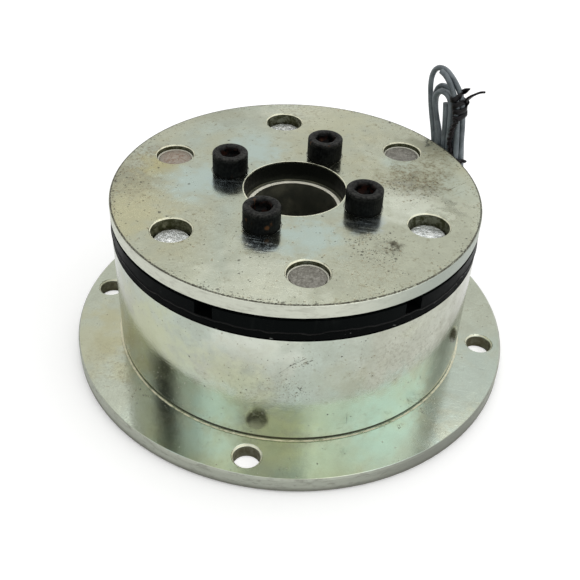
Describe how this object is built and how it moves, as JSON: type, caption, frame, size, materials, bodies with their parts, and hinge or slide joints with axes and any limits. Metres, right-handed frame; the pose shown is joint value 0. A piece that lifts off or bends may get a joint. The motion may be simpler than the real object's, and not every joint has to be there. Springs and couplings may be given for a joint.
{
  "type": "shaft-mounted electromagnetic brake",
  "caption": "Flanged electromagnetic brake for a shaft: a round magnet body with a sprung armature and a drive plate screwed to a bored hub.",
  "frame": {"origin": "centre of the mounting flange's underside, on the shaft axis", "axes": "+Z along the shaft axis, from the mounting flange towards the drive plate; -Y towards a mounting hole at the front"},
  "size_m": [0.125, 0.125, 0.0699],
  "materials": {
    "zinc_flange": "zinc plated, pale yellow and grey passivation",
    "zinc_body": "zinc plated, mottled grey",
    "zinc_plate": "zinc plated, pale green passivation, satin with dark specks",
    "bobbin_plastic": "moulded",
    "copper_wire": "enamelled copper",
    "potting_resin": "cast resin",
    "bearing_steel": "ground steel",
    "ball_steel": "polished steel",
    "cage_brass": "pressed",
    "seal_rubber": "matt",
    "black_spring_steel": "phosphated",
    "grommet_rubber": "matt",
    "lead_insulation": "soft insulation, dusty grey black",
    "tie_plastic": "moulded nylon",
    "hub_steel": "turned steel, lightly oiled",
    "black_armature": "black finish with a dull sheen",
    "friction_material": "pressed friction material",
    "black_screw": "black oxide with rust in the socket",
    "brown_rivet": "dull, browned by rust",
    "zinc_rivet": "bright zinc, uneven",
    "spring_steel": "blued spring steel"
  },
  "bodies": {
    "magnet": {"mounting_flange": "zinc_flange", "field_shell": "zinc_body", "coil_bobbin": "bobbin_plastic", "coil_winding": "copper_wire", "coil_potting": "potting_resin", "flange_screw_1": "black_screw", "flange_screw_2": "black_screw", "flange_screw_3": "black_screw", "flange_screw_4": "black_screw", "bearing_outer_ring": "bearing_steel", "bearing_lower_seal": "seal_rubber", "bearing_upper_seal": "seal_rubber", "bore_retaining_ring": "black_spring_steel", "lead_grommet": "grommet_rubber", "lead_1": "lead_insulation", "lead_2": "lead_insulation", "lead_hank": "lead_insulation", "cable_tie": "tie_plastic"},
    "rotor": {"hub": "hub_steel", "bearing_inner_ring": "bearing_steel", "hub_retaining_ring": "black_spring_steel", "drive_plate": "zinc_plate", "cap_screw_1": "black_screw", "cap_screw_2": "black_screw", "cap_screw_3": "black_screw", "cap_screw_4": "black_screw", "drive_rivet_1": "brown_rivet", "drive_rivet_2": "brown_rivet", "drive_rivet_3": "brown_rivet", "leaf_spring_1": "spring_steel", "leaf_spring_2": "spring_steel", "leaf_spring_3": "spring_steel"},
    "armature": {"armature_plate": "black_armature", "friction_lining": "friction_material", "armature_rivet_1": "zinc_rivet", "armature_rivet_2": "zinc_rivet", "armature_rivet_3": "zinc_rivet"},
    "ball_cage": {"bearing_cage": "cage_brass", "bearing_balls": "ball_steel"}
  },
  "joints": [
    {"name": "rotor_spin", "type": "hinge", "parent": "magnet", "child": "rotor", "pos_m": [0, 0, 0.0165], "axis": [0, 0, 1], "continuous": true},
    {"name": "armature_travel", "type": "slide", "parent": "rotor", "child": "armature", "axis": [0, 0, 1], "range_m": [-0.0003, 0], "stiffness_N_per_m": 20000, "springref_m": 0.0003, "deforming": ["leaf_spring_1", "leaf_spring_2", "leaf_spring_3"]},
    {"name": "cage_orbit", "type": "hinge", "parent": "magnet", "child": "ball_cage", "pos_m": [0, 0, 0.0165], "axis": [0, 0, 1], "continuous": true}
  ],
  "couplings": [
    {"joint": "cage_orbit", "follows": "rotor_spin", "ratio": 0.4524}
  ]
}
